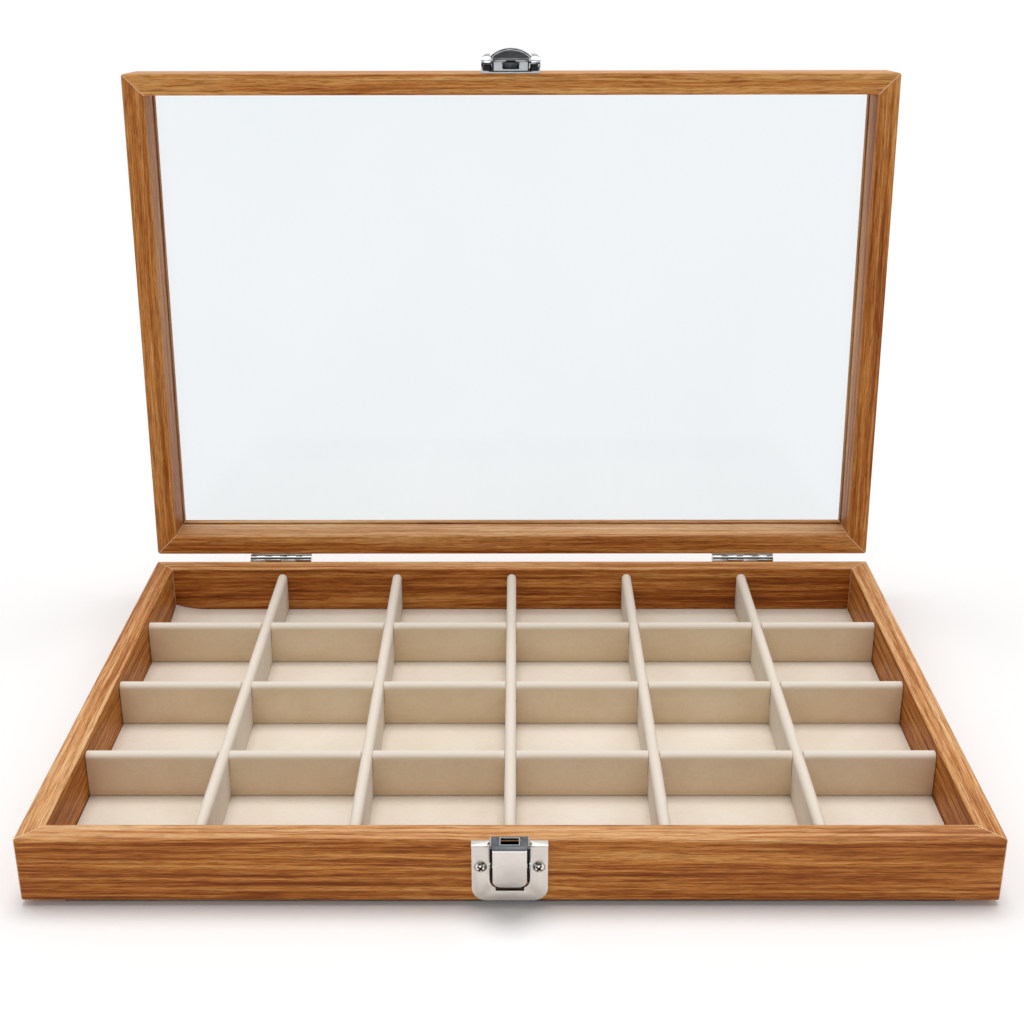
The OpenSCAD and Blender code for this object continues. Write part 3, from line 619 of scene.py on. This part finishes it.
# %% [markdown]
# The frame's pieces have sharp edges, and a sharp edge catches no light. A real one is eased: sanded on
# the wood, rolled or tumbled on the metal. So the rails, the dividers and most metal pieces are copied
# one by one. A copy's loose triangles are joined and flattened back to whole faces, and a narrow bevel is
# put on every sharp edge. The copy stands for the frame's piece and rides on the same body.

# %% Ease the edges of a piece
def only(piece):
    bpy.ops.object.select_all(action="DESELECT")
    piece.select_set(True)
    bpy.context.view_layer.objects.active = piece


def body_of(node):
    bodies = frame["record"]["behaviour"]["bodies"]
    return next(body for body, names in bodies.items() if node in names)


def eased(node, ease, material):
    piece = bpy.data.objects.new("eased_" + node, nodes[node].data.copy())
    bpy.context.scene.collection.objects.link(piece)
    only(piece)
    bpy.ops.object.mode_set(mode="EDIT")
    bpy.ops.mesh.select_all(action="SELECT")
    bpy.ops.mesh.remove_doubles(threshold=0.002 * MM)
    bpy.ops.mesh.customdata_custom_splitnormals_clear()
    bpy.ops.mesh.dissolve_limited(angle_limit=math.radians(0.4), delimit=set())
    bpy.ops.object.mode_set(mode="OBJECT")
    bevel = piece.modifiers.new("ease", "BEVEL")
    bevel.width = ease
    bevel.segments = 2
    bevel.limit_method = "ANGLE"
    bevel.angle_limit = math.radians(25)
    bevel.use_clamp_overlap = True
    bevel.harden_normals = False
    bpy.ops.object.modifier_apply(modifier="ease")
    bpy.ops.object.shade_smooth_by_angle(angle=math.radians(30))
    piece.data.materials.clear()
    piece.data.materials.append(material)
    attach(piece, body_of(node))
    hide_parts(node)
    print(piece.name, len(piece.data.polygons), "faces")
    return piece

# %% Ease the rails
RAIL_EASE = 0.35 * MM
for part in ("base", "lid"):
    for side in RAIL_RUNS:
        name = f"{part}_{side}_rail"
        eased(name, RAIL_EASE, finish[name])

# %% [markdown]
# Metal is eased by how it was made. The thick bent sheets of the latch and the catch have the roundest
# edges, stamped leaves are crisper, and a screw head keeps only a trace of a round. A piece with its own
# finish takes that, and the others take the finish of their material slot.

# %% Ease the metal pieces
METAL_EASE = {
    "latch_plate": 0.18, "latch_lever": 0.22, "latch_housing": 0.12, "catch_body": 0.2,
    "catch_cover": 0.2, "catch_tongue": 0.1, "hinge_base_leaf_left": 0.12, "hinge_base_leaf_right": 0.12,
    "hinge_lid_leaf_left": 0.12, "hinge_lid_leaf_right": 0.12, "latch_screws": 0.08, "catch_screws": 0.08,
    "hinge_base_screws": 0.06, "hinge_lid_screws": 0.06,
}
for name, ease in METAL_EASE.items():
    eased(name, ease * MM, finish.get(name, finish[slots[name]]))

# %% [markdown]
# The dividers are thin boards with suede drawn over them. Their rounded tops are already in the frame,
# and the suede rounds what edges are left. Rows and columns are most likely covered in one suede, but the
# photograph shows the fronts of the rows darker, and the lamps here give only a part of that, so the
# rows' finish is painted darker, as painted shade.

# %% Soften the dividers
DIVIDER_EASE = 0.3 * MM
for name in [name for name in nodes if "divider" in name]:
    eased(name, DIVIDER_EASE, finish["suede_" + name.split("_")[0]])

# %% [markdown]
# What stays as it is from the frame still gets its finish: the pane, the pins, the bottom panel and the
# spring. The finish goes into the material slots that the piece already has.

# %% Finish the pieces that stay
for name in ("glass_pane", "hinge_pin_left", "hinge_pin_right", "bottom_panel", "latch_spring", "latch_pin"):
    for place in nodes[name].material_slots:
        place.material = finish[slots[name]]
    print(name, "gets", finish[slots[name]].name)

# %% [markdown]
# The felt strips are soft, so the frame's plain boxes only hold their place. Each is modelled again from
# a box that is eased all round, cut across into forty lengths and given the slightly uneven edge of cut
# felt.

# %% Felt strips
FELT_EASE = 0.45 * MM
FELT_WANDER = 0.18 * MM
EDGE_BAND = 0.5 * MM


def cut_lengths(piece, start, end, count):
    """Cuts a piece square to X into equal lengths."""
    only(piece)
    bpy.ops.object.mode_set(mode="EDIT")
    for i in range(1, count):
        cut = (start + (end - start) * i / count, 0, 0)
        bpy.ops.mesh.select_all(action="SELECT")
        bpy.ops.mesh.bisect(plane_co=cut, plane_no=(1, 0, 0))
    bpy.ops.object.mode_set(mode="OBJECT")


def felt_strip(node):
    low, high = (Vector(corner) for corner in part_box(node))
    bpy.ops.object.select_all(action="DESELECT")
    bpy.ops.mesh.primitive_cube_add(size=1, location=(low + high) / 2, scale=high - low)
    piece = bpy.context.object
    piece.name = "soft_" + node
    bpy.ops.object.transform_apply(location=True, rotation=False, scale=True)
    bpy.ops.object.mode_set(mode="EDIT")
    bpy.ops.mesh.select_all(action="SELECT")
    bpy.ops.mesh.bevel(offset=FELT_EASE, segments=3, affect="EDGES")
    bpy.ops.object.mode_set(mode="OBJECT")
    cut_lengths(piece, low.x, high.x, 40)
    for point in piece.data.vertices:
        if abs(point.co.y - low.y) < EDGE_BAND or abs(point.co.y - high.y) < EDGE_BAND:
            inward = 1 if point.co.y < (low.y + high.y) / 2 else -1
            point.co.y += inward * random.uniform(0, 1) * FELT_WANDER
    bpy.ops.object.shade_smooth_by_angle(angle=math.radians(40))
    piece.data.materials.append(finish["black_felt"])
    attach(piece, "base")
    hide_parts(node)
    print(piece.name, len(piece.data.polygons), "faces")


for name in ("felt_strip_front", "felt_strip_middle", "felt_strip_back"):
    felt_strip(name)

# %% [markdown]
# The floor pad is suede glued over a thin soft board. Under the dividers it is pressed down, between
# them it crowns a little, and in the far left compartment its corner has come up. Cloth could be
# simulated for it, but glued suede hardly moves, so the heights are worked out: a parabola with a flat
# top between each two dividers, and a curl that grows towards the corner.

# %% Heights of the floor
pad_low, pad_high = (Vector(corner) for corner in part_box("floor_pad"))
column_lines = [sum(c[0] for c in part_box(f"column_divider_{i}")) / 2 for i in range(1, 6)]
row_lines = [sum(c[1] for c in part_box(f"row_divider_{i}")) / 2 for i in range(1, 4)]
PRESSED = 0.25 * MM
CROWN = 0.35 * MM
CURL_REACH = 15 * MM
CURL_RISE = 2.6 * MM


def crown(at, lines, low, high):
    """0 on a divider's line or the pad's edge, 1 in the middle of a compartment."""
    stops = [low] + lines + [high]
    left = max(s for s in stops if s <= at + 1e-9)
    right = min(s for s in stops if s > at + 1e-9) if at < high - 1e-9 else high
    if right - left < 1e-6:
        return 0
    share = (at - left) / (right - left)
    return min(1, 4 * share * (1 - share) * 1.6)


def floor_height(x, y):
    rise = crown(x, column_lines, pad_low.x, pad_high.x) * crown(y, row_lines, pad_low.y, pad_high.y)
    corner = math.hypot(x - pad_low.x, pad_high.y - y)
    curl = max(0, 1 - corner / CURL_REACH)
    return -PRESSED + rise * CROWN + curl * curl * CURL_RISE


print("compartments", len(column_lines) + 1, "by", len(row_lines) + 1)

# %% [markdown]
# The pad itself starts as a grid with a vertex every few millimetres. Once its heights are set, Solidify
# gives it its thickness downwards, so that its upper side keeps the heights.

# %% Suede floor
def suede_floor():
    size = pad_high - pad_low
    middle = (pad_low + pad_high) / 2
    bpy.ops.object.select_all(action="DESELECT")
    bpy.ops.mesh.primitive_grid_add(
        x_subdivisions=132, y_subdivisions=84, size=1, location=(middle.x, middle.y, pad_high.z))
    piece = bpy.context.object
    piece.name = "suede_floor"
    piece.scale = (size.x, size.y, 1)
    bpy.ops.object.transform_apply(location=True, rotation=False, scale=True)
    for point in piece.data.vertices:
        point.co.z += floor_height(point.co.x, point.co.y)
    thick = piece.modifiers.new("board", "SOLIDIFY")
    thick.thickness = size.z - 0.4 * MM
    thick.offset = -1
    only(piece)
    bpy.ops.object.modifier_apply(modifier="board")
    bpy.ops.object.shade_smooth_by_angle(angle=math.radians(50))
    piece.data.materials.append(finish["suede_floor"])
    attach(piece, "base")
    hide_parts("floor_pad")
    print(piece.name, len(piece.data.polygons), "faces")


suede_floor()

# %% [markdown]
# The stage is a wide pale floor under an even white world, as in a studio tent. The world gives only a
# part of the light, but camera, mirror and glass rays see it as plain white.

# %% Stage
def stage_floor():
    bpy.ops.object.select_all(action="DESELECT")
    bpy.ops.mesh.primitive_plane_add(size=40, location=(0, 0, 0))
    floor = bpy.context.object
    floor.name = "studio_floor"
    f = Finish("studio_floor")
    f.set(Base_Color=(0.98, 0.98, 0.98, 1), Roughness=0.9, Specular_IOR_Level=0.0)
    floor.data.materials.append(f.material)


def world_light(strength):
    world = bpy.data.worlds.new("studio")
    bpy.context.scene.world = world
    world.use_nodes = True
    tree = world.node_tree
    background = tree.nodes["Background"]
    background.inputs["Color"].default_value = (1, 1, 1, 1)
    rays = tree.nodes.new("ShaderNodeLightPath")
    seen = Value(tree, rays.outputs["Is Camera Ray"]) + Value(tree, rays.outputs["Is Glossy Ray"])
    seen = (seen + Value(tree, rays.outputs["Is Transmission Ray"])).lesser(1)
    tree.links.new((seen * (1 - strength) + strength).socket, background.inputs["Strength"])


stage_floor()
world_light(0.25)
print("stage floor and world light are set")

# %% [markdown]
# Four broad, soft suns light the case at a plain level. The strongest is overhead and tipped a little to
# the back, so its shadow lands in front. Two come in from the sides, and a low one from the front keeps
# the upright faces from falling dark. Polished metal in an all-white tent looks flat, so a dark card
# hangs behind and above the camera for it to mirror. The card lets the lamps' light through.

# %% Light
def sun(name, strength, spread, elevation, azimuth):
    """Azimuth 0 shines from the front, 90 from the right and 180 from the back."""
    light = bpy.data.lights.new(name, "SUN")
    light.energy = strength
    light.angle = math.radians(spread)
    lamp = bpy.data.objects.new(name, light)
    bpy.context.scene.collection.objects.link(lamp)
    lamp.rotation_euler = (math.radians(90 - elevation), 0, math.radians(azimuth))


def dark_card(name, place, size, tilt):
    bpy.ops.object.select_all(action="DESELECT")
    bpy.ops.mesh.primitive_plane_add(size=1, location=place, rotation=(math.radians(tilt), 0, 0))
    card = bpy.context.object
    card.name = name
    card.scale = (*size, 1)
    f = Finish("card_black")
    f.set(Base_Color=(0.02, 0.02, 0.02, 1), Roughness=1.0)
    f.let_light_through((1, 1, 1, 1))
    card.data.materials.append(f.material)


sun("overhead_panel", 1.65, 30, 80, 180)
sun("left_panel", 0.42, 40, 50, -108)
sun("right_panel", 0.42, 40, 50, 108)
sun("front_panel", 0.50, 44, 26, 0)
dark_card("high_card", (0, -1.25, 0.95), (3.0, 1.3), 62)
bpy.context.scene.view_settings.view_transform = "Standard"
print("lamps:", len(bpy.data.lights))

# %% [markdown]
